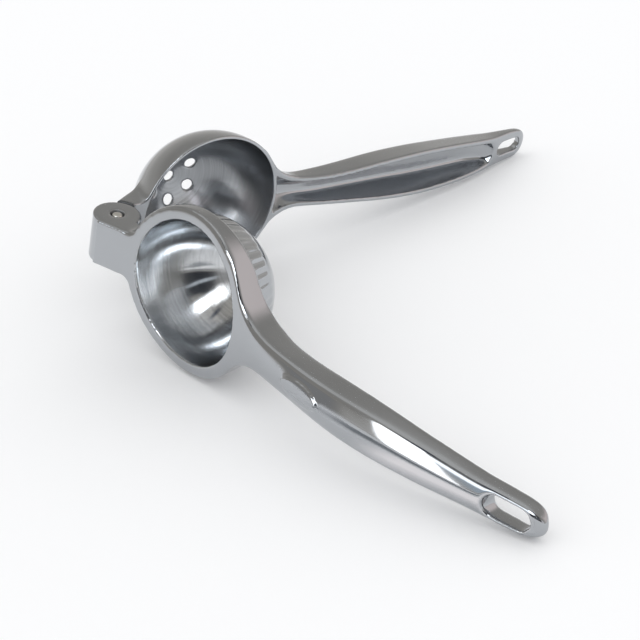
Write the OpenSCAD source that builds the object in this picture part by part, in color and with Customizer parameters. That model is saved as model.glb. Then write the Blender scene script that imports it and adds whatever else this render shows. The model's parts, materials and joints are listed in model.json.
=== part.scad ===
// Hinged lemon squeezer: a press arm and a strainer arm, cast and chrome plated,
// joined by one steel pin.  The squeezer lies on its side, held open like scissors.
//
// Each arm is drawn along +X from the hinge, with the pin along Z through the origin.
// With both arms drawn in the same place the squeezer is closed: the press faces +Y,
// and its dome sits inside the strainer cup.

/* [Hinge] */
// Distance from the pin to the middle of each cup
reach = 44; // [43:0.1:46]
// Diameter of the hinge pin
pin_d = 4; // [3.5:0.1:4.5]
// Gap all round the pin in the tang of the strainer arm
pin_play = 0.05; // [0.03:0.01:0.1]
// Height of the knuckle along the pin
knuckle_h = 17.8; // [16:0.1:20]
// Radius of the knuckle's rounded back
knuckle_r = 8.8; // [8.6:0.1:9]
// Height of the tang between the two ears
tang_h = 7; // [5:0.1:8]
// Radius of the tang's round hub
hub_r = 6.6; // [5.6:0.1:6.7]
// Angle between the arms as the squeezer lies
open_angle = 80; // [70:1:90]

/* [Strainer cup] */
// Outer radius of the strainer cup
cup_r = 30.4; // [30.2:0.1:31]
// Wall of the strainer cup
cup_wall = 1.3; // [1.1:0.1:1.8]
// Height of the cup's rim above the hinge line
rim_y = 3.4; // [3.2:0.1:4]
// Diameter of a drain hole
drain_d = 4.1; // [3:0.1:5.5]
// Radius of the ring of drain holes
drain_ring = 9.6; // [8:0.1:12]
// How far the drain holes are set from the cup's middle towards the hinge
drain_shift = 1.1; // [0:0.1:1.5]
// Drain holes in the ring, round one in the middle
drain_count = 6; // [4:1:8]

/* [Press] */
// Outer radius of the press flange
flange_r = 31; // [30.5:0.1:31.5]
// Radius of the press dome
dome_r = 28.1; // [27:0.1:28.2]
// Wall of the press dome
dome_wall = 1.7; // [1.4:0.1:2.5]
// Flutes round the foot of the dome
flute_count = 45; // [24:1:48]
// Depth of a flute at its middle
flute_depth = 0.65; // [0.2:0.05:0.8]

/* [Handles] */
// Distance from the pin to the tip of the press handle
press_length = 206.4; // [205:0.1:212]
// Distance from the pin to the tip of the strainer handle
strainer_length = 203.2; // [202.5:0.1:210]
// Half the width of the handle at its neck
neck_half = 6.6; // [6:0.1:7.5]
// Radius of the hollow curve from cup to neck
neck_fillet = 18; // [14:0.5:22]
// Wall of the channel in each handle
channel_wall = 1.8; // [1.4:0.1:2.4]
// Thickness of the channel's floor
floor_t = 2.4; // [1.8:0.1:3]
// Height of the raised oval on the press handle
oval_lift = 0.5; // [0.3:0.1:0.8]

/* [Hidden] */

// ---- the arms' side view: [distance from the pin, height above the hinge line] ----
bow_r = 117;                   // radius of the hollow bow across the flange
bow_x = 35.6;                  // where the flange lies closest to the hinge line
bow_y = -4.2;
flange_y = 2;                  // flat back of the flange, next to the strainer's rim
press_outer = [[62, -6.8], [75, -10], [98, -13.8], [126, -16], [154, -13.9], [178, -10.7],
               [188, -9], [196, -7.6], [201, -6.5], [204, -5.6], [press_length, -3.8]];
press_inner = [[66, flange_y], [78, flange_y], [98, -2.7], [126, -5.4], [154, -5.6],
               [178, -3], [192, -1.2], [201, -0.6], [204, -0.9], [press_length, -2.4]];
strainer_outer = [[64, 15.5], [70, 13], [76, 10.8], [84, 9.8], [98, 9.7], [126, 10.9],
                  [154, 10.3], [178, 9.9], [190, 9.2], [199, 8.6], [strainer_length, 7.6]];
strainer_inner = [[60, rim_y], [78, rim_y], [96, -0.1], [112, -1.4], [138, -2.1],
                  [163, -1.1], [178, 0.7], [192, 3.9], [199, 5], [strainer_length, 6.2]];

// ---- half widths along each handle: the inner side, and how much narrower the outer is ----
press_half = [[86, neck_half], [96, 6.6], [107, 7.2], [120, 8.4], [132, 9.2], [145, 9.5],
              [162, 8.7], [175, 7.5], [184, 6.8], [196, 6.6]];
strainer_half = [[86, neck_half], [96, 6.8], [107, 7.6], [120, 8.9], [132, 9.7], [145, 10],
                 [162, 9.2], [175, 7.9], [184, 6.9], [196, 6.5]];
press_flare = [[12, 0], [24, -0.4], [62, -0.6], [76, -1.4], [88, -0.7], [100, -0.4], [114, 0.4],
               [126, 1.1], [145, 1.8], [162, 1.8], [178, 1.3], [190, 0.8], [204, 0.8]];
strainer_flare = [[64, 7], [72, 3.9], [78, 1.5], [88, 0.6], [100, 0.6], [126, 2], [145, 2.4],
                  [162, 2.1], [178, 1.2], [190, 0.3]];
crown = [[8, 0], [70, 0.1], [90, 0.6], [126, 1.2], [160, 1.3], [190, 0.7], [204, 0.1]];
outer_round = [[8, 0.9], [40, 0.9], [60, 1.2], [90, 1.8], [120, 2.4], [150, 2.6], [190, 2.2],
               [204, 1.2]];

knuckle_half = knuckle_h / 2;
knuckle_fillet = 5;            // hollow curve from the knuckle to the flange
ear_gap = 0.2;                 // play of the tang between the ears, on each side
hub_gap = 0.5;                 // play round the hub in the fork
block_gap = 0.4;               // play between the ears and the strainer arm's shoulder
tip_start = 194;               // where the handles start to round off
press_tip_start = 188;         // the press handle's outer side does so sooner
tip_power = 2.6;
channel_end = 183;             // where both channels stop, short of the hang slots
press_channel = 84;            // where the press arm's channel starts
strainer_channel = 70;         // and the strainer arm's
press_slot = [184.8, 201.8, 7.8];  // hang slot: from, to, width
strainer_slot = [186, 200.2, 6];
oval_x = 110;                  // middle of the raised oval
oval_size = [18.4, 7.6];
sink_d = 5.4;                  // countersink round each end of the pin
sink_depth = 0.6;
pin_set = 0.4;                 // how far the pin's ends lie inside the knuckle's faces
pin_round = 0.5;               // rounding of the pin's peened ends
cup_y = rim_y - 1.5;           // middle of the cup's ball shape
dome_y = -1.2;                 // middle of the dome's ball shape
bore_d = pin_d + 2 * pin_play;
shoulder_r = knuckle_r + block_gap;

// Where the outline's hollow curves leave the knuckle and meet the neck
knuckle_x = leave_x(flange_r);
knuckle_meet = reach - (reach - knuckle_x) * flange_r / (flange_r + knuckle_fillet);
neck_x = reach + sqrt(pow(flange_r + neck_fillet, 2) - pow(neck_half + neck_fillet, 2));
neck_meet = reach + (neck_x - reach) * flange_r / (flange_r + neck_fillet);

// How the squeezer lies: press cup and both tips on the ground, so the pin leans
lean = 12.351;
roll = -0.145;
rest = [-71.301, -0.357, 38.012];  // middle of the pin, over the ground

// Smooth curve through a list of [x, value] points
function slope_at(t, i) = let(a = max(i - 1, 0), b = min(i + 1, len(t) - 1))
    (t[b][1] - t[a][1]) / (t[b][0] - t[a][0]);
function span_of(t, x) = max([0, for (i = [0:len(t) - 2]) if (x >= t[i][0]) i]);
function curve(t, x) = x <= t[0][0] ? t[0][1] : x >= t[len(t) - 1][0] ? t[len(t) - 1][1] :
    let(i = span_of(t, x), h = t[i + 1][0] - t[i][0], s = (x - t[i][0]) / h)
    t[i][1] * (1 + 2 * s) * pow(1 - s, 2) + slope_at(t, i) * h * s * pow(1 - s, 2)
    + t[i + 1][1] * (3 - 2 * s) * s * s - slope_at(t, i + 1) * h * s * s * (1 - s);

// Outline of an arm, seen square to its cup: half its width at the distance x.
// Next to the knuckle it runs round the cup, whose radius there is r.
function tip_factor(x, start, end) = x <= start ? 1 :
    pow(max(1 - pow((x - start) / (end - start), tip_power), 0.0005), 1 / tip_power);
function leave_x(r) = reach - sqrt(pow(r + knuckle_fillet, 2) - pow(knuckle_half + knuckle_fillet, 2));
function cup_side(x, r) = let(from = leave_x(r), to = reach - (reach - from) * r / (r + knuckle_fillet))
    x < from ? knuckle_half :
    x < to ? knuckle_half + knuckle_fillet - sqrt(pow(knuckle_fillet, 2) - pow(x - from, 2)) :
    sqrt(pow(r, 2) - pow(x - reach, 2));
function outline(x, half, end) =
    x < neck_meet ? cup_side(x, flange_r) :
    x < neck_x ? neck_half + neck_fillet - sqrt(pow(neck_fillet, 2) - pow(neck_x - x, 2)) :
    curve(half, x) * tip_factor(x, tip_start, end);
function outer_half(x, half, flare, start, end) = max(0.2,
    (outline(x, half, 300) - curve(flare, x)) * tip_factor(x, start, end));

function bow(x) = bow_y - bow_r + sqrt(pow(bow_r, 2) - pow(x - bow_x, 2));
function press_face(x) = x < press_outer[0][0] ? bow(x) : curve(press_outer, x);

// One cross-section, as points round it: a four-sided shape with rounded corners,
// face half_o wide at height y_o and half_i wide at height y_i, bulging by rise
corner_n = 4;
function half_section(half_o, y_o, half_i, y_i, r_o, r_i, rise) =
    let(way = sign(y_i - y_o), lean_a = atan((half_i - half_o) / abs(y_i - y_o)),
        ro = min(r_o, half_o * 0.9, abs(y_i - y_o) * 0.45),
        ri = min(r_i, half_i * 0.9, abs(y_i - y_o) * 0.45),
        z_o = half_o - ro * tan((90 - lean_a) / 2), z_i = half_i - ri * tan((90 + lean_a) / 2))
    [[0, y_o - way * rise], [z_o * 0.4, y_o - way * rise * 0.84], [z_o * 0.8, y_o - way * rise * 0.36],
     for (k = [0:corner_n]) let(a = -90 + k * (90 - lean_a) / corner_n)
         [z_o + ro * cos(a), y_o + way * ro * (1 + sin(a))],
     for (k = [0:corner_n]) let(a = -lean_a + k * (90 + lean_a) / corner_n)
         [z_i + ri * cos(a), y_i - way * ri * (1 - sin(a))],
     [0, y_i]];
function whole_section(h) = let(way = sign(h[len(h) - 1][1] - h[0][1]))
    concat([for (p = h) [way * p[0], p[1]]],
        [for (k = [len(h) - 2:-1:1]) [-way * h[k][0], h[k][1]]]);

// Skin laid over a row of cross-sections that stand at the distances xs
module loft(xs, sections) {
    n = len(sections[0]);
    last = len(xs) - 1;
    side = [for (i = [0:last - 1], j = [0:n - 1])
        [i * n + j, i * n + (j + 1) % n, (i + 1) * n + (j + 1) % n, (i + 1) * n + j]];
    ends = [[for (j = [0:n - 1]) (n / 2 - j + n) % n],
            [for (j = [0:n - 1]) last * n + (n / 2 + j) % n]];
    polyhedron([for (i = [0:last], p = sections[i]) [xs[i], p[1], p[0]]], concat(side, ends),
        convexity = 6);
}

// Distances at which the cross-sections stand
flange_xs = [for (k = [0:4]) knuckle_x + k * (knuckle_meet - knuckle_x) / 5,
             for (a = [158:-5:33]) reach + flange_r * cos(a)];
neck_xs = [for (k = [0:5]) neck_meet + k * (neck_x - neck_meet) / 6];
grip_xs = [for (x = [88:3.5:tip_start]) x];
function tip_xs(end) = [for (k = [0:9]) tip_start + 0.5 + (end - tip_start - 0.5) * sin(10 * k)];

function press_section(x, lift) = whole_section(half_section(
    outer_half(x, press_half, press_flare, press_tip_start, press_length), press_face(x) - lift,
    outline(x, press_half, press_length), curve(press_inner, x), curve(outer_round, x), 1.1,
    curve(crown, x)));
function strainer_section(x) = whole_section(half_section(
    outer_half(x, strainer_half, strainer_flare, tip_start, strainer_length), curve(strainer_outer, x),
    outline(x, strainer_half, strainer_length), curve(strainer_inner, x), curve(outer_round, x), 0.8,
    curve(crown, x)));

module press_body(lift = 0, from = 0, to = 300) {
    xs = [for (x = concat(flange_xs, neck_xs, grip_xs, tip_xs(press_length)))
        if (x >= from && x <= to) x];
    loft(xs, [for (x = xs) press_section(x, lift)]);
}

module strainer_body() {
    xs = concat([66, 68], [for (x = concat(neck_xs, grip_xs, tip_xs(strainer_length)))
        if (x > 69) x]);
    loft(xs, [for (x = xs) strainer_section(x)]);
}

// The hollow in a handle: open on the inner side, its floor follows the outer side
function floor_y(x, start, outer, inner, way) =
    let(full = curve(outer, x) + way * floor_t,
        rise = curve([[start, 0], [start + 4, 0.8], [start + 10, 1], [channel_end - 14, 1],
            [channel_end - 4, 0.65], [channel_end, 0.15]], x))
    curve(inner, x) + (full - curve(inner, x)) * rise;

module channel(start, outer, inner, half, flare, way) {
    xs = [start, for (x = [start + 2:2.2:start + 12]) x,
          for (x = [start + 16:4:channel_end - 16]) x, for (x = [channel_end - 12:2:channel_end]) x];
    loft(xs, [for (x = xs)
        let(mouth = outline(x, half, 300) - channel_wall,
            mouth_y = curve(inner, x) + way * 0.8,
            deep = max(mouth - curve(flare, x) - 0.6, 0.6)
                * curve([[start, 0.25], [start + 26, 1], [170, 1], [channel_end, 0.8]], x),
            deep_y = floor_y(x, start, outer, inner, way),
            spread = x < channel_end - 3 ? 1 :
                sqrt(max(1 - pow((x - channel_end + 3) / 3.4, 2), 0.05)))
        whole_section(half_section(deep * spread,
            way > 0 ? min(deep_y, mouth_y - 1) : max(deep_y, mouth_y + 1),
            mouth * spread, mouth_y, 1.6, 0.3, 0))]);
}

// Round-ended slot through a tip, square to the arm
module hang_slot(slot) {
    width = slot[2];
    for (x = [slot[0] + width / 2, slot[1] - width / 2])
        translate([x, 0, 0]) rotate([90, 0, 0])
            cylinder(h = 60, d = width, center = true, $fn = 48);
    translate([(slot[0] + slot[1]) / 2, 0, 0])
        cube([slot[1] - slot[0] - width, 60, width], center = true);
}

// Ball whose middle lies on the cup's axis at the height y
module ball(r, y) translate([reach, y, 0]) rotate([-90, 0, 0]) sphere(r, $fn = 160);

// Round solid along the cup's axis, from height y0 to y1
module round_y(r, y0, y1)
    translate([reach, y0, 0]) rotate([-90, 0, 0]) cylinder(h = y1 - y0, r = r, $fn = 120);

// Everything above a height
module keep_above(y) translate([-20, y, -60]) cube([260, 80, 120]);

// ---- sub-parts ----
module fork() {
    difference() {
        linear_extrude(knuckle_h, center = true) difference() {
            union() {
                circle(knuckle_r, $fn = 96);
                translate([0, -12]) square([knuckle_x + 0.4, 12 + flange_y]);
            }
            translate([bow_x, bow_y - bow_r]) circle(bow_r, $fn = 720);
        }
        linear_extrude(tang_h + 2 * ear_gap, center = true) {
            circle(hub_r + hub_gap, $fn = 96);
            polygon([[0, 0], [30, 4], [30, 30], [-30, 30], [-30, -14]]);
        }
    }
}

module flutes() {
    bite_r = 3;
    climb = 20;
    for (k = [0:flute_count - 1])
        translate([reach, dome_y, 0]) rotate([0, 360 * (k + 0.5) / flute_count, 0]) rotate([0, 0, climb])
            translate([dome_r + bite_r * cos(15) - flute_depth, 0, 0]) rotate([90, 15, 0])
                cylinder(h = 16, r = bite_r, center = true, $fn = 12);
}

module dome() difference() {
    intersection() {
        ball(dome_r, dome_y);
        keep_above(0);
    }
    flutes();
}

module press_arm() color([0.72, 0.74, 0.77]) lie(-open_angle / 2) {
    difference() {
        union() {
            press_body();
            fork();
            dome();
        }
        ball(dome_r - dome_wall, dome_y);
        round_y(dome_r - dome_wall, -20, dome_y);
        hang_slot(press_slot);
        channel(press_channel, press_outer, press_inner, press_half, press_flare, 1);
        cylinder(h = 60, d = pin_d, center = true, $fn = 48);
        for (m = [0, 1]) mirror([0, 0, m])
            translate([0, 0, knuckle_half - sink_depth]) cylinder(h = 2, d = sink_d, $fn = 48);
    }
    intersection() {
        press_body(oval_lift, oval_x - 14, oval_x + 14);
        translate([oval_x, curve(press_outer, oval_x) + 0.6, 0]) rotate([90, 0, 0])
            linear_extrude(10) scale([oval_size[0] / oval_size[1], 1]) circle(d = oval_size[1], $fn = 64);
    }
}

// Neck of the cup: level with the knuckle, and running hollow into the cup's ball
module shoulder() {
    xs = [for (k = [0:3]) 4 + k * (knuckle_x - 4) / 4, for (x = [knuckle_x:1.2:21]) x];
    back = [[4, 7.9], [10, 11.2], [14, 13.2], [17, 15], [19, 16.4], [21, 18]];
    difference() {
        loft(xs, [for (x = xs)
            let(y = curve(back, x), r = sqrt(pow(cup_r - 0.3, 2) - pow(y - cup_y, 2)))
            whole_section(half_section(cup_side(x, r), y, cup_side(x, flange_r - 0.6), rim_y,
                1, 0.4, 0))]);
        cylinder(h = 60, r = shoulder_r, center = true, $fn = 96);
    }
}

module tang() {
    linear_extrude(tang_h, center = true) difference() {
        union() {
            circle(hub_r, $fn = 96);
            polygon([[4, rim_y], [14, rim_y], [18, 12], [12, 13.4], [2.6, 8.2], [-2, 5]]);
        }
        circle(d = bore_d, $fn = 48);
    }
}

module strainer_arm() color([0.70, 0.72, 0.75]) lie(open_angle / 2) difference() {
    union() {
        intersection() {
            ball(cup_r, cup_y);
            keep_above(rim_y);
        }
        strainer_body();
        shoulder();
        tang();
    }
    ball(cup_r - cup_wall, cup_y);
    translate([reach - drain_shift, 0, 0]) rotate([-90, 0, 0]) {
        cylinder(h = 60, d = drain_d, $fn = 48);
        for (k = [0:drain_count - 1]) rotate([0, 0, 360 * (k + 0.5) / drain_count])
            translate([drain_ring, 0, 0]) cylinder(h = 60, d = drain_d, $fn = 48);
    }
    difference() {
        channel(strainer_channel, strainer_outer, strainer_inner, strainer_half, strainer_flare, -1);
        ball(cup_r, cup_y);
    }
    hang_slot(strainer_slot);
}

module hinge_pin() color([0.82, 0.82, 0.80]) lie(0) {
    end = knuckle_half - pin_set;
    rotate_extrude($fn = 48) polygon([[0, -end], [pin_d / 2 - pin_round, -end],
        [pin_d / 2 - pin_round * 0.3, -end + pin_round * 0.3], [pin_d / 2, -end + pin_round],
        [pin_d / 2, end - pin_round], [pin_d / 2 - pin_round * 0.3, end - pin_round * 0.3],
        [pin_d / 2 - pin_round, end], [0, end]]);
}

// Turns an arm about the pin and lays the squeezer on the ground
module lie(turn) translate(rest) rotate([roll, 0, 0]) rotate([0, lean, 0]) rotate([0, 0, turn])
    children();

press_arm();
strainer_arm();
hinge_pin();
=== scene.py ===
import bpy
import json
import math
import numpy as np
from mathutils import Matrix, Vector


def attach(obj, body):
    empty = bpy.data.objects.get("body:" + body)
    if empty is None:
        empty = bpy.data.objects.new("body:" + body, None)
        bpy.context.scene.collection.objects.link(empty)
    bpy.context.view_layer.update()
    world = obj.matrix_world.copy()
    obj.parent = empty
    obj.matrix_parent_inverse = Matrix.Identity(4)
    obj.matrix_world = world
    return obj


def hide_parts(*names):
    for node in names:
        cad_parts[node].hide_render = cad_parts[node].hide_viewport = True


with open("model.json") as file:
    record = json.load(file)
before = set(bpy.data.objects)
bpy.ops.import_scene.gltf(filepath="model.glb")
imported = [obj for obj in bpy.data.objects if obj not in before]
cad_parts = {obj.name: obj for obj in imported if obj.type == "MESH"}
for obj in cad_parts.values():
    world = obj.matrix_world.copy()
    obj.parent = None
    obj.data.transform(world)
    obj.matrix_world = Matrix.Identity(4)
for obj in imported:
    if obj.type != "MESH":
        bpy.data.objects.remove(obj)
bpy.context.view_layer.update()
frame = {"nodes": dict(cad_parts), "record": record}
scene = bpy.context.scene

# --- Camera ---------------------------------------------------------------
# A long lens, a little above the squeezer and in front of the press handle's tip,
# held a few degrees off level.
camera_data = bpy.data.cameras.new("camera")
camera = bpy.data.objects.new("camera", camera_data)
scene.collection.objects.link(camera)
scene.camera = camera
camera_data.lens = 118.97
camera_data.sensor_width = 36
camera_data.clip_start = 0.01
camera.location = (0.07244, -0.66390, 0.39980)
camera.rotation_euler = [math.radians(angle) for angle in (59.0484, 3.5178, 4.0458)]
scene.view_settings.view_transform = "Standard"

# --- Table and surround ---------------------------------------------------
# White paper under soft daylight from all round.  The camera and the chrome see
# the surround as white, and the paper keeps the squeezer's shadow.
daylight = (0.985, 0.99, 1.0)
daylight_strength = 1.02
paper_white = (0.98, 0.98, 0.98)
table_size = 24
table_gap = 0.0006             # keeps the paper clear of the faces that rest on it


def math_node(tree, operation, *inputs):
    node = tree.nodes.new("ShaderNodeMath")
    node.operation = operation
    for socket, value in zip(node.inputs, inputs):
        if isinstance(value, (int, float)):
            socket.default_value = value
        else:
            tree.links.new(value, socket)
    return node.outputs[0]


world = bpy.data.worlds.new("surround")
scene.world = world
world.use_nodes = True
tree = world.node_tree
tree.nodes.clear()
soft = tree.nodes.new("ShaderNodeBackground")
soft.inputs["Color"].default_value = (*daylight, 1)
soft.inputs["Strength"].default_value = daylight_strength
white = tree.nodes.new("ShaderNodeBackground")
white.inputs["Color"].default_value = (1, 1, 1, 1)
path = tree.nodes.new("ShaderNodeLightPath")
seen = math_node(tree, "MAXIMUM", path.outputs["Is Camera Ray"], path.outputs["Is Glossy Ray"])
seen = math_node(tree, "MAXIMUM", seen, path.outputs["Is Transmission Ray"])
either = tree.nodes.new("ShaderNodeMixShader")
tree.links.new(seen, either.inputs[0])
tree.links.new(soft.outputs[0], either.inputs[1])
tree.links.new(white.outputs[0], either.inputs[2])
out = tree.nodes.new("ShaderNodeOutputWorld")
tree.links.new(either.outputs[0], out.inputs["Surface"])

bpy.ops.object.select_all(action="DESELECT")
bpy.ops.mesh.primitive_plane_add(size=table_size, location=(0, 0, -table_gap))
table = bpy.context.object
table.name = "table"
paper = bpy.data.materials.new("table_paper")
paper.use_nodes = True
shader = paper.node_tree.nodes["Principled BSDF"]
shader.inputs["Base Color"].default_value = (*paper_white, 1)
shader.inputs["Roughness"].default_value = 0.9
shader.inputs["Specular IOR Level"].default_value = 0.0
table.data.materials.append(paper)

# --- Light tent -----------------------------------------------------------
# A wide tent that only the chrome mirrors: warm grey walls, a pink-lit wall on the
# right, the dark room beside the camera, and a sloping roof light over it.
tent_radius = 6
wall_shades = (                # height in degrees, colour
    (-1, (1.0, 1.0, 1.0)), (1.5, (0.63, 0.61, 0.58)), (15, (0.51, 0.49, 0.46)),
    (33, (0.40, 0.385, 0.36)), (56, (0.43, 0.415, 0.39)), (75, (0.75, 0.74, 0.72)))
panels = (                     # heading, height, half width, half height, colour, edge, turn
    (82, 16, 30, 24, (1.0, 0.90, 0.87), 14, 0),            # wall lit by the evening sun
    (-48, 58, 32, 9, (0.72, 0.71, 0.69), 5, 0),
    (-98, 22, 14, 24, (0.41, 0.39, 0.36), 5, 0),
    (-175, 15, 33, 22, (0.035, 0.038, 0.045), 4, 0),       # the camera's side of the room
    (-178, 16, 24, 2.2, (0.60, 0.65, 0.70), 1.5, -17),     # a shelf edge catching light
    (146, 9, 6, 9, (1.2, 1.15, 1.2), 3, 0),
    (145, 55, 14, 20, (0.06, 0.065, 0.08), 5, 0),
    (-131, 58, 6, 9, (0.05, 0.06, 0.09), 3, 0),            # dark blind above the window
    (-137, 15, 5, 14, (0.58, 0.66, 0.74), 2, 0),
    (-157, 41, 33, 10, (2.5, 2.6, 2.7), 3, -35.6),         # sloping roof light
    (-177, 54, 11, 7.5, (8.5, 9.0, 9.5), 3, 0))


def mirrored_sheet(name):
    # an empty material for what the chrome mirrors; it lights nothing by itself
    material = bpy.data.materials.new(name)
    material.use_nodes = True
    material.cycles.emission_sampling = "NONE"
    material.node_tree.nodes.clear()
    return material


def only_mirrored(card):
    card.visible_camera = False
    card.visible_diffuse = False
    card.visible_shadow = False
    card.visible_transmission = False


def fade(tree, value, full, none):
    node = tree.nodes.new("ShaderNodeMapRange")
    node.interpolation_type = "SMOOTHSTEP"
    tree.links.new(value, node.inputs["Value"])
    node.inputs["From Min"].default_value = full
    node.inputs["From Max"].default_value = none
    node.inputs["To Min"].default_value = 1
    node.inputs["To Max"].default_value = 0
    return node.outputs["Result"]


def place_on(tree):
    return tree.nodes.new("ShaderNodeTexCoord").outputs["Object"]


def split_place(tree):
    split = tree.nodes.new("ShaderNodeSeparateXYZ")
    tree.links.new(place_on(tree), split.inputs[0])
    return split.outputs


bpy.ops.mesh.primitive_uv_sphere_add(segments=48, ring_count=24, radius=tent_radius)
tent = bpy.context.object
tent.name = "light_tent"
cloth = mirrored_sheet("tent_cloth")
tree = cloth.node_tree
place = split_place(tree)
heading = math_node(tree, "DEGREES", math_node(tree, "ARCTAN2", place["X"], place["Y"]))
height = math_node(tree, "DEGREES", math_node(
    tree, "ARCSINE", math_node(tree, "DIVIDE", place["Z"], tent_radius)))

walls = tree.nodes.new("ShaderNodeValToRGB")
walls.color_ramp.interpolation = "EASE"
while len(walls.color_ramp.elements) < len(wall_shades):
    walls.color_ramp.elements.new(0.5)
for stop, (angle, colour) in zip(walls.color_ramp.elements, wall_shades):
    stop.position = (angle + 90) / 180
    stop.color = (*colour, 1)
level = math_node(tree, "DIVIDE", math_node(tree, "ADD", height, 90), 180)
tree.links.new(level, walls.inputs["Fac"])
tent_colour = walls.outputs["Color"]

for heading_at, height_at, half_width, half_height, colour, edge, turn in panels:
    across = math_node(tree, "WRAP",
                       math_node(tree, "SUBTRACT", heading, heading_at), 180, -180)
    up = math_node(tree, "SUBTRACT", height, height_at)
    if turn:
        cos, sin = math.cos(math.radians(turn)), math.sin(math.radians(turn))
        across, up = (
            math_node(tree, "ADD", math_node(tree, "MULTIPLY", across, cos),
                      math_node(tree, "MULTIPLY", up, sin)),
            math_node(tree, "SUBTRACT", math_node(tree, "MULTIPLY", up, cos),
                      math_node(tree, "MULTIPLY", across, sin)))
    mask = math_node(
        tree, "MULTIPLY",
        fade(tree, math_node(tree, "ABSOLUTE", across), half_width - edge, half_width + edge),
        fade(tree, math_node(tree, "ABSOLUTE", up), half_height - edge, half_height + edge))
    mix = tree.nodes.new("ShaderNodeMix")
    mix.data_type = "RGBA"
    tree.links.new(mask, mix.inputs["Factor"])
    tree.links.new(tent_colour, mix.inputs["A"])
    mix.inputs["B"].default_value = (*colour, 1)
    tent_colour = mix.outputs["Result"]

glow = tree.nodes.new("ShaderNodeEmission")
tree.links.new(tent_colour, glow.inputs["Color"])
out = tree.nodes.new("ShaderNodeOutputMaterial")
tree.links.new(glow.outputs[0], out.inputs["Surface"])
tent.data.materials.append(cloth)
only_mirrored(tent)

# --- Window card ----------------------------------------------------------
# A tall white card that stands close to the press handle as a window would, and
# fades out towards its top.  Only the chrome mirrors it.
window_place = (-0.2425, -0.3115, 0.235)
window_wide, window_tall = 0.082, 0.47
window_turn = -49
window_strength = 3.2
pane_fade = (0.25, 0.5)        # from full to none, in parts of the card's height


def glowing_sheet(tree, mask, colour, strength):
    # glows where the mask is 1 and is clear where it is 0
    glow = tree.nodes.new("ShaderNodeEmission")
    glow.inputs["Color"].default_value = (*colour, 1)
    if isinstance(strength, (int, float)):
        glow.inputs["Strength"].default_value = strength
    else:
        tree.links.new(strength, glow.inputs["Strength"])
    clear = tree.nodes.new("ShaderNodeBsdfTransparent")
    blend = tree.nodes.new("ShaderNodeMixShader")
    tree.links.new(mask, blend.inputs[0])
    tree.links.new(clear.outputs[0], blend.inputs[1])
    tree.links.new(glow.outputs[0], blend.inputs[2])
    out = tree.nodes.new("ShaderNodeOutputMaterial")
    tree.links.new(blend.outputs[0], out.inputs["Surface"])


bpy.ops.mesh.primitive_plane_add(size=1, location=window_place,
                                 rotation=(math.radians(90), 0, math.radians(window_turn)))
window = bpy.context.object
window.name = "window_card"
window.scale = (window_wide, window_tall, 1)
pane = mirrored_sheet("window_pane")
tree = pane.node_tree
lit = fade(tree, split_place(tree)["Y"], *pane_fade)
glowing_sheet(tree, lit, (1, 1, 1), math_node(tree, "MULTIPLY", lit, window_strength))
window.data.materials.append(pane)
only_mirrored(window)

# --- Cards on the table ---------------------------------------------------
# The far table going grey further from the squeezer, the window's glare on the paper beside the
# handle, a dim strip beside the handle, the dark room's edge and a low screen: again mirrored by
# the chrome alone.
card_gap = 0.0002              # above the paper
card_fade = (0.4, 1.0)         # from full to none, in parts of half a card
# a grey sheet over the paper that greys the table further from the squeezer, for the chrome alone
far_grey = (0.62, 0.60, 0.57)
far_grey_fade = (0.8, 0.14)        # metres from the squeezer, from full to none


def soft_card(name, place, size, turn, strength, colour, upright=False):
    height = size[1] / 2 if upright else card_gap
    bpy.ops.mesh.primitive_plane_add(size=2, location=(*place, height),
                                     rotation=(math.radians(90 * upright), 0, math.radians(turn)))
    card = bpy.context.object
    card.name = name
    card.scale = (size[0] / 2, size[1] / 2, 1)
    sheet = mirrored_sheet(name + "_sheet")
    tree = sheet.node_tree
    place = split_place(tree)
    edges = [fade(tree, math_node(tree, "ABSOLUTE", place[side]), *card_fade) for side in "XY"]
    glowing_sheet(tree, math_node(tree, "MULTIPLY", *edges), colour, strength)
    card.data.materials.append(sheet)
    only_mirrored(card)


bpy.ops.mesh.primitive_plane_add(size=table_size, location=(0, 0, card_gap / 2))
far = bpy.context.object
far.name = "far_table"
far_grey_sheet = mirrored_sheet("far_table_grey")
tree = far_grey_sheet.node_tree
away = tree.nodes.new("ShaderNodeVectorMath")
away.operation = "LENGTH"
tree.links.new(place_on(tree), away.inputs[0])
glowing_sheet(tree, fade(tree, away.outputs["Value"], *far_grey_fade), far_grey, 1.0)
far.data.materials.append(far_grey_sheet)
only_mirrored(far)

soft_card("glare_card", (0.027, -0.134), (0.085, 0.048), turn=-37, strength=1.55,
          colour=(1.0, 0.95, 0.94))
soft_card("dark_card", (-0.04, -0.74), (1.1, 0.95), turn=0, strength=0.20,
          colour=(0.95, 0.97, 1.0))
# a dim strip lying on the paper beside the handle, mirrored by the chrome alone
soft_card("dim_strip_card", (-0.034, -0.162), (0.16, 0.085), turn=-58, strength=0.35,
          colour=(0.9, 0.95, 1.0))
soft_card("window_screen", (-0.110, -0.108), (0.080, 0.076), turn=window_turn, strength=0.36,
          colour=(1.0, 0.99, 0.98), upright=True)

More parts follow.
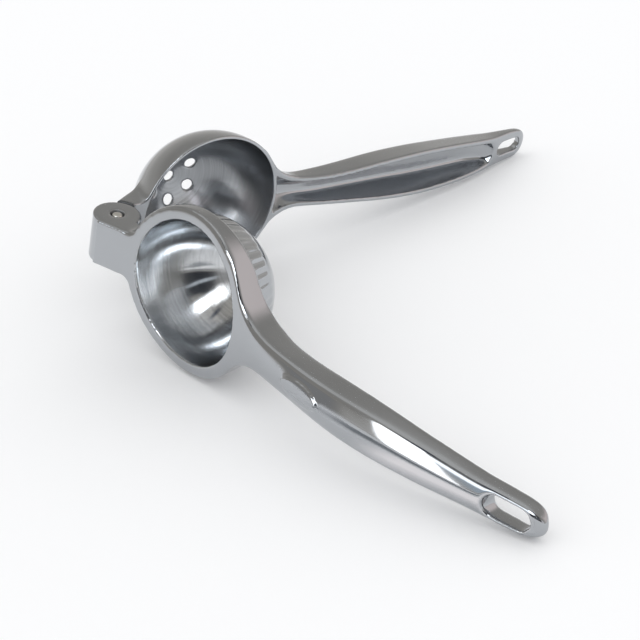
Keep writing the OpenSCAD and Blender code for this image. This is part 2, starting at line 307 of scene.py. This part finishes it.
# --- Press arm ------------------------------------------------------------
# One zinc casting: knuckle fork, ring flange, fluted dome and channelled handle.
# It is tumbled so that its edges go soft, polished, turned inside the dome, and
# chrome plated.
hinge = frame["record"]["behaviour"]["joints"][0]
outward = {mount["name"]: Vector(mount["axis"]) for mount in frame["record"]["mounts"]}
pin_at = np.array(hinge["pos_m"])
pin_up = Vector(hinge["axis"])
cup_reach = 0.044              # from the pin to the middle of each cup
skin_grain = 0.00036
arm_triangles = 192000
broad_evenness, edge_evenness = (0.985, 0.997), 0.97
belt_sides = (0.75, 0.95)      # how far a face must look along the pin
hollow_r, hollow_y = 0.0264, -0.0012
dome_r = 0.0281
knuckle_blend, flange_blend = (0.010, 0.014), (0.0275, 0.029)  # start and end of each
tip_edge, tip_blend = 0.201, 0.006
flute_foot, flute_out = (0.003, 0.005), 0.0290
bore_mouth = (-0.0095, -0.0080)
pad_at, outer_face = 0.110, -0.010
pad_edge, pad_top = (0.0103, 0.0049), (0.0093, 0.0039)
pad_lift, pad_softness = 0.0003, 0.3
pin_hole_r = 0.0029
pin_end_shade = (0.0075, 0.0080)
chrome_grey = (0.42, 0.435, 0.455)
# the press hollow's chrome, painted lighter than chrome_grey so that its reflections render
# brighter: a lit copy of the same plating
hollow_lit_grey = (0.59, 0.605, 0.62)


def arm_axes(closing):
    # rows: along the handle, towards the far side of the closed squeezer, along the pin
    return np.array([closing.cross(pin_up).normalized(), closing, pin_up])


def points(piece):
    flat = np.zeros(len(piece.data.vertices) * 3, np.float32)
    piece.data.vertices.foreach_get("co", flat)
    return flat.reshape(-1, 3).astype(np.float64)


def normals(piece):
    flat = np.zeros(len(piece.data.vertices) * 3, np.float32)
    piece.data.vertices.foreach_get("normal", flat)
    return flat.reshape(-1, 3)


def put_points(piece, at):
    piece.data.vertices.foreach_set("co", at.astype(np.float32).ravel())
    piece.data.update()


def copy_of(node, name, axes):
    # a merged copy of the CAD node, laid along its own arm with the pin at the origin
    mesh = frame["nodes"][node].data.copy()
    mesh.name = name
    piece = bpy.data.objects.new(name, mesh)
    scene.collection.objects.link(piece)
    bpy.ops.object.select_all(action="DESELECT")
    piece.select_set(True)
    bpy.context.view_layer.objects.active = piece
    bpy.ops.object.mode_set(mode="EDIT")
    bpy.ops.mesh.select_all(action="SELECT")
    bpy.ops.mesh.remove_doubles(threshold=2e-6)
    bpy.ops.object.mode_set(mode="OBJECT")
    put_points(piece, (points(piece) - pin_at) @ axes.T)
    return piece


def cast_skin(piece, grain):
    skin = piece.modifiers.new("skin", "REMESH")
    skin.mode = "VOXEL"
    skin.voxel_size = grain
    skin.use_smooth_shade = True
    bpy.ops.object.modifier_apply(modifier="skin")


def spread(piece, values, rings):
    # averages values over that many rings of neighbouring points
    mesh = piece.data
    count = len(mesh.vertices)
    ends = np.zeros(len(mesh.edges) * 2, np.int64)
    mesh.edges.foreach_get("vertices", ends)
    ends = ends.reshape(-1, 2)
    neighbours = np.bincount(ends.ravel(), minlength=count) + 1.0
    columns = []
    for column in values.reshape(count, -1).T:
        for _ in range(rings):
            column = (column + np.bincount(ends[:, 0], column[ends[:, 1]], count)
                      + np.bincount(ends[:, 1], column[ends[:, 0]], count)) / neighbours
        columns.append(column)
    return np.stack(columns, 1)


def evenness(piece, rings):
    # 1 on a broad face, less where the surface turns within that many rings of points
    return np.linalg.norm(spread(piece, normals(piece).astype(np.float64), rings), axis=1)


def ramp(value, low, high):
    return np.clip((value - low) / (high - low), 0, 1)


def rub(piece, name, weight, rounds):
    # smooths the piece, harder where the weight is higher
    group = piece.vertex_groups.new(name=name)
    steps = np.round(np.clip(weight, 0, 1) * 10).astype(int)
    for step in range(1, 11):
        chosen = np.nonzero(steps == step)[0].tolist()
        if chosen:
            group.add(chosen, step / 10, "REPLACE")
    cloth_wheel = piece.modifiers.new(name, "SMOOTH")
    cloth_wheel.factor = 0.5
    cloth_wheel.iterations = rounds
    cloth_wheel.vertex_group = name
    bpy.ops.object.modifier_apply(modifier=name)
    piece.vertex_groups.clear()


def rub_broad_faces(piece):
    flat = spread(piece, ramp(evenness(piece, rings=10), *broad_evenness), rings=5)[:, 0]
    rub(piece, "broad_faces", flat, rounds=100)


def thin_out(piece, triangles):
    # leaves small triangles on the round edges and larger ones on the flats
    now = sum(len(face.vertices) - 2 for face in piece.data.polygons)
    fewer = piece.modifiers.new("fewer", "DECIMATE")
    fewer.ratio = min(1, triangles / now)
    bpy.ops.object.modifier_apply(modifier="fewer")
    rub(piece, "settle", np.ones(len(piece.data.vertices)), rounds=2)
    bpy.ops.object.shade_smooth()


def store(piece, name, values):
    layer = piece.data.attributes.new(name, "FLOAT", "POINT")
    layer.data.foreach_set("value", np.asarray(values, np.float32))


def store_masks(piece, inside, in_bowl, hinge_shade):
    # ground: the sides dressed on a belt and the turned bowl; edge: the rounded edges, lightened
    # by a painted highlight; the last argument: painted shade by the hinge pin
    sideways = np.abs(normals(piece)[:, 2])
    store(piece, "ground", np.where(inside, in_bowl, ramp(sideways, *belt_sides)))
    store(piece, "hinge_shade", hinge_shade)
    store(piece, "edge", ramp(edge_evenness - evenness(piece, rings=2), 0, 0.12))


def lathe_lines(piece, at, inside, radius, centre_y):
    # a second material and a map round the cup's axis, for the faces cut on the lathe
    mesh = piece.data
    count = len(mesh.polygons)
    loops = np.zeros(len(mesh.loops), np.int64)
    mesh.loops.foreach_get("vertex_index", loops)
    starts = np.zeros(count, np.int64)
    mesh.polygons.foreach_get("loop_start", starts)
    totals = np.zeros(count, np.int64)
    mesh.polygons.foreach_get("loop_total", totals)
    face_of = np.repeat(np.arange(count), totals)
    score = np.bincount(face_of, inside[loops].astype(float), count) / totals
    mesh.polygons.foreach_set("material_index", (score > 0.5).astype(np.int32))
    from_axis = np.hypot(at[:, 0] - cup_reach, at[:, 2])
    depth = np.where(at[:, 1] > centre_y, radius * np.arctan2(from_axis, at[:, 1] - centre_y),
                     radius * np.pi / 2 + centre_y - at[:, 1])[loops]
    turn = np.arctan2(at[:, 2], at[:, 0] - cup_reach)[loops] / (2 * np.pi)
    first = turn[starts][face_of]
    turn = np.where(turn - first > 0.5, turn - 1, np.where(turn - first < -0.5, turn + 1, turn))
    layer = mesh.uv_layers.new(name="turning")
    layer.data.foreach_set("uv", np.stack([depth * 100, turn], 1).ravel().astype(np.float32))


def noise(tree, scale, detail, vector):
    node = tree.nodes.new("ShaderNodeTexNoise")
    node.inputs["Scale"].default_value = scale
    node.inputs["Detail"].default_value = detail
    tree.links.new(vector, node.inputs["Vector"])
    return node.outputs["Fac"]


def plus_part(tree, base, part, mask):
    # base + part * mask
    return math_node(tree, "ADD", base, math_node(tree, "MULTIPLY", mask, part))


def tinted(tree, colour, shade):
    # multiplies a colour by a grey shade
    tone = tree.nodes.new("ShaderNodeCombineColor")
    for channel in range(3):
        tree.links.new(shade, tone.inputs[channel])
    mix = tree.nodes.new("ShaderNodeMix")
    mix.data_type = "RGBA"
    mix.blend_type = "MULTIPLY"
    mix.inputs["Factor"].default_value = 1.0
    tree.links.new(colour, mix.inputs["A"])
    tree.links.new(tone.outputs[0], mix.inputs["B"])
    return mix.outputs["Result"]


# Shared look of plated castings: a skin that waves a little, rubs duller on the sides
# that were ground, a painted highlight that lightens the rounded edges, and painted shade that
# darkens the colour by the hinge pin, where the roughness also rises
smudge_scale, wave_scale, grain_scale = 55, 210, 2600
smudge_dulls, hinge_shade_dulls, least_rough = 0.06, 0.35, 0.03
# the middle value lightens the rounded edges (painted highlight); the last darkens the colour by
# the hinge pin (painted shade)
smudge_shade, edge_highlight, hinge_shade_darkening = 0.10, 0.18, 0.75
cast_pits, ground_pits = 0.012, 0.06
line_spread, line_depth = (14, 2.5, 1), 0.5
streak_depth = 0.7
skin_depth = 0.00006
plating = bpy.data.node_groups.new("plating", "ShaderNodeTree")
for name, kind, value in (("Colour", "NodeSocketColor", (*chrome_grey, 1)),
                          ("Roughness", "NodeSocketFloat", 0.1),
                          ("Ground Roughness", "NodeSocketFloat", 0.2),
                          ("Ground", "NodeSocketFloat", 0.0),
                          ("Edge", "NodeSocketFloat", 0.0),
                          ("Hinge_Shade", "NodeSocketFloat", 0.0),
                          ("Wave", "NodeSocketFloat", 1.0)):
    socket = plating.interface.new_socket(name=name, in_out="INPUT", socket_type=kind)
    socket.default_value = value
for name, kind in (("Colour", "NodeSocketColor"), ("Roughness", "NodeSocketFloat"),
                   ("Height", "NodeSocketFloat")):
    plating.interface.new_socket(name=name, in_out="OUTPUT", socket_type=kind)
given = plating.nodes.new("NodeGroupInput").outputs
result = plating.nodes.new("NodeGroupOutput").inputs
place = place_on(plating)
smudge = noise(plating, smudge_scale, 3, place)
grain = noise(plating, grain_scale, 2, place)
wave = noise(plating, wave_scale, 1, place)

ground = math_node(plating, "SUBTRACT", given["Ground Roughness"], given["Roughness"])
rough = plus_part(plating, given["Roughness"], ground, given["Ground"])
rough = plus_part(plating, rough, smudge_dulls, math_node(plating, "SUBTRACT", smudge, 0.5))
rough = plus_part(plating, rough, hinge_shade_dulls, given["Hinge_Shade"])
plating.links.new(math_node(plating, "MAXIMUM", rough, least_rough), result["Roughness"])

light = plus_part(plating, 1 - smudge_shade / 2, smudge_shade, smudge)
# painted highlight: the colour lightens along the rounded edges
light = plus_part(plating, light, edge_highlight, given["Edge"])
# painted shade: the colour darkens by the hinge pin and in the fork
hinge_unshaded = plus_part(plating, 1.0, -hinge_shade_darkening, given["Hinge_Shade"])
light = math_node(plating, "MULTIPLY", light, hinge_unshaded)
plating.links.new(tinted(plating, given["Colour"], light), result["Colour"])

pitting = plus_part(plating, cast_pits, ground_pits, given["Ground"])
relief = math_node(plating, "MULTIPLY", wave, given["Wave"])
plating.links.new(plus_part(plating, relief, pitting, grain), result["Height"])


def plated(name, colour, rough, ground_rough, turned=0.0, wave=0.25):
    material = bpy.data.materials.new(name)
    material.use_nodes = True
    tree = material.node_tree
    shader = tree.nodes["Principled BSDF"]
    shader.inputs["Metallic"].default_value = 1.0
    skin = tree.nodes.new("ShaderNodeGroup")
    skin.node_tree = plating
    skin.inputs["Colour"].default_value = (*colour, 1)
    skin.inputs["Roughness"].default_value = rough
    skin.inputs["Ground Roughness"].default_value = ground_rough
    skin.inputs["Wave"].default_value = wave
    for mask in ("Ground", "Edge", "Hinge_Shade"):
        layer = tree.nodes.new("ShaderNodeAttribute")
        layer.attribute_name = mask.lower()
        tree.links.new(layer.outputs["Fac"], skin.inputs[mask])
    finish, height = skin.outputs["Colour"], skin.outputs["Height"]
    if turned:
        rows = tree.nodes.new("ShaderNodeUVMap")
        rows.uv_map = "turning"
        apart = tree.nodes.new("ShaderNodeMapping")
        apart.inputs["Scale"].default_value = line_spread
        tree.links.new(rows.outputs[0], apart.inputs["Vector"])
        lines = noise(tree, 1.0, 4, apart.outputs[0])
        height = plus_part(tree, height, line_depth, lines)
        finish = tinted(tree, finish, plus_part(tree, 1 - streak_depth / 2, streak_depth, lines))
        shader.inputs["Anisotropic"].default_value = turned
        tangent = tree.nodes.new("ShaderNodeTangent")
        tangent.direction_type = "UV_MAP"
        tangent.uv_map = "turning"
        tree.links.new(tangent.outputs[0], shader.inputs["Tangent"])
    bump = tree.nodes.new("ShaderNodeBump")
    bump.inputs["Strength"].default_value = 0.5
    bump.inputs["Distance"].default_value = skin_depth
    tree.links.new(height, bump.inputs["Height"])
    tree.links.new(bump.outputs[0], shader.inputs["Normal"])
    tree.links.new(finish, shader.inputs["Base Color"])
    tree.links.new(skin.outputs["Roughness"], shader.inputs["Roughness"])
    return material


press_axes = arm_axes(-outward["press_hang_slot"])
press = copy_of("press_arm", "press_arm_chrome", press_axes)
cast_skin(press, skin_grain)
at = points(press)
from_axis = np.hypot(at[:, 0] - cup_reach, at[:, 2])
rub_broad_faces(press)
on_outer_face = at[:, 1] < outer_face
on_pad = (np.hypot((at[:, 0] - pad_at) / pad_edge[0], at[:, 2] / pad_edge[1]) < 1) & on_outer_face
outer_side = ramp(-at[:, 1], 0.0, 0.002) * ramp(at[:, 0], *knuckle_blend)
outer_side *= ramp(tip_edge - at[:, 0], 0, tip_blend) * ramp(from_axis, *flange_blend) * ~on_pad
rub(press, "outer_edges", outer_side, rounds=70)
rub(press, "flutes", ramp(at[:, 1], *flute_foot) * (from_axis < flute_out), rounds=12)
rub(press, "all_over", np.where(on_pad, pad_softness, 1.0), rounds=14)
lift = ramp(1.0 - np.hypot((at[:, 0] - pad_at) / pad_top[0], at[:, 2] / pad_top[1]), 0, 0.10)
put_points(press, points(press) - np.outer(pad_lift * lift * on_outer_face, (0, 1, 0)))
thin_out(press, arm_triangles)

at = points(press)
from_axis = np.hypot(at[:, 0] - cup_reach, at[:, 2])
from_middle = np.hypot(from_axis, at[:, 1] - hollow_y)
in_bore = from_axis < hollow_r + 0.0002
inside = in_bore & ((at[:, 1] < hollow_y) | (from_middle < (hollow_r + dome_r) / 2))
in_bowl = ramp(hollow_r + 0.0001 - from_axis, -0.0002, 0.0) * ramp(at[:, 1], *bore_mouth)
in_pin_hole = ramp(pin_hole_r - np.hypot(at[:, 0], at[:, 1]), 0, 0.0004)
# painted shade in the pin's holes, near the fork's outer faces
store_masks(press, inside, in_bowl, in_pin_hole * ramp(np.abs(at[:, 2]), *pin_end_shade))

press.data.materials.clear()
press.data.materials.append(plated("press_chrome", chrome_grey, rough=0.07, ground_rough=0.24))
# the turned hollow takes the lighter painted copy of the chrome colour
press.data.materials.append(plated("press_turned_chrome", hollow_lit_grey, rough=0.07,
                                   ground_rough=0.145, turned=0.96))
lathe_lines(press, at, inside, hollow_r, hollow_y)
put_points(press, at @ press_axes + pin_at)
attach(press, "press")
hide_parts("press_arm")

# --- Strainer arm ---------------------------------------------------------
# The other casting: tang, drilled cup and a handle whose channel opens inwards.  It is
# finished and plated as the press is, its bowl turned rougher and kept in the plain chrome
# colour, without the press hollow's painted lightening.
bowl_r, bowl_y = 0.0291, 0.0019
strainer_cup_r = 0.0304
neck_blend, outside_blend = (0.072, 0.076), (0.005, 0.007)
strainer_tip_edge = 0.200
knuckle_shade_r = 0.0106       # painted shade darkens the tang within this of the pin, inside the fork

strainer_axes = arm_axes(outward["strainer_hang_slot"])
strainer = copy_of("strainer_arm", "strainer_arm_chrome", strainer_axes)
cast_skin(strainer, skin_grain)
at = points(strainer)
rub_broad_faces(strainer)
outer_side = ramp(at[:, 1], *outside_blend) * ramp(at[:, 0], *neck_blend)
outer_side *= ramp(strainer_tip_edge - at[:, 0], 0, tip_blend)
rub(strainer, "outer_edges", outer_side, rounds=70)
rub(strainer, "all_over", np.ones(len(at)), rounds=10)
thin_out(strainer, arm_triangles)

at = points(strainer)
from_middle = np.sqrt((at[:, 0] - cup_reach) ** 2 + (at[:, 1] - bowl_y) ** 2 + at[:, 2] ** 2)
inside = from_middle < (bowl_r + strainer_cup_r) / 2
# painted shade on the tang by the pin, inside the fork
by_the_pin = ramp(knuckle_shade_r - np.hypot(at[:, 0], at[:, 1]), 0, 0.0010)
store_masks(strainer, inside, 1.0, by_the_pin)

strainer.data.materials.clear()
strainer.data.materials.append(
    plated("strainer_chrome", chrome_grey, rough=0.12, ground_rough=0.24))
strainer.data.materials.append(
    plated("strainer_turned_chrome", chrome_grey, rough=0.12, ground_rough=0.20, turned=0.8))
lathe_lines(strainer, at, inside, bowl_r, bowl_y)
put_points(strainer, at @ strainer_axes + pin_at)
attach(strainer, "strainer")
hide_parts("strainer_arm")

# --- Hinge pin ------------------------------------------------------------
# A plain steel pin, pressed into the fork's ears and peened over at both ends, which
# leaves a low crown on each.
pin_r = 0.002
crown_height = 0.0003
crown_blend = (0.0006, 0.0004)
pin_grain = 0.00013
pin_grey = (0.72, 0.71, 0.68)

pin = copy_of("hinge_pin", "hinge_pin_steel", press_axes)
cast_skin(pin, pin_grain)
rub(pin, "all_over", np.ones(len(pin.data.vertices)), rounds=6)
at = points(pin)
pin_end = np.abs(at[:, 2]).max()
crown = crown_height * np.clip(1 - (np.hypot(at[:, 0], at[:, 1]) / pin_r) ** 2, 0, 1)
crown *= ramp(np.abs(at[:, 2]), pin_end - crown_blend[0], pin_end - crown_blend[1])
at[:, 2] += np.sign(at[:, 2]) * crown
bpy.ops.object.shade_smooth()
for mask in ("ground", "edge", "hinge_shade"):
    store(pin, mask, np.zeros(len(at)))
put_points(pin, at @ press_axes + pin_at)
pin.data.materials.clear()
pin.data.materials.append(
    plated("pin_steel", pin_grey, rough=0.28, ground_rough=0.28, wave=0.3))
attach(pin, "press")
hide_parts("hinge_pin")
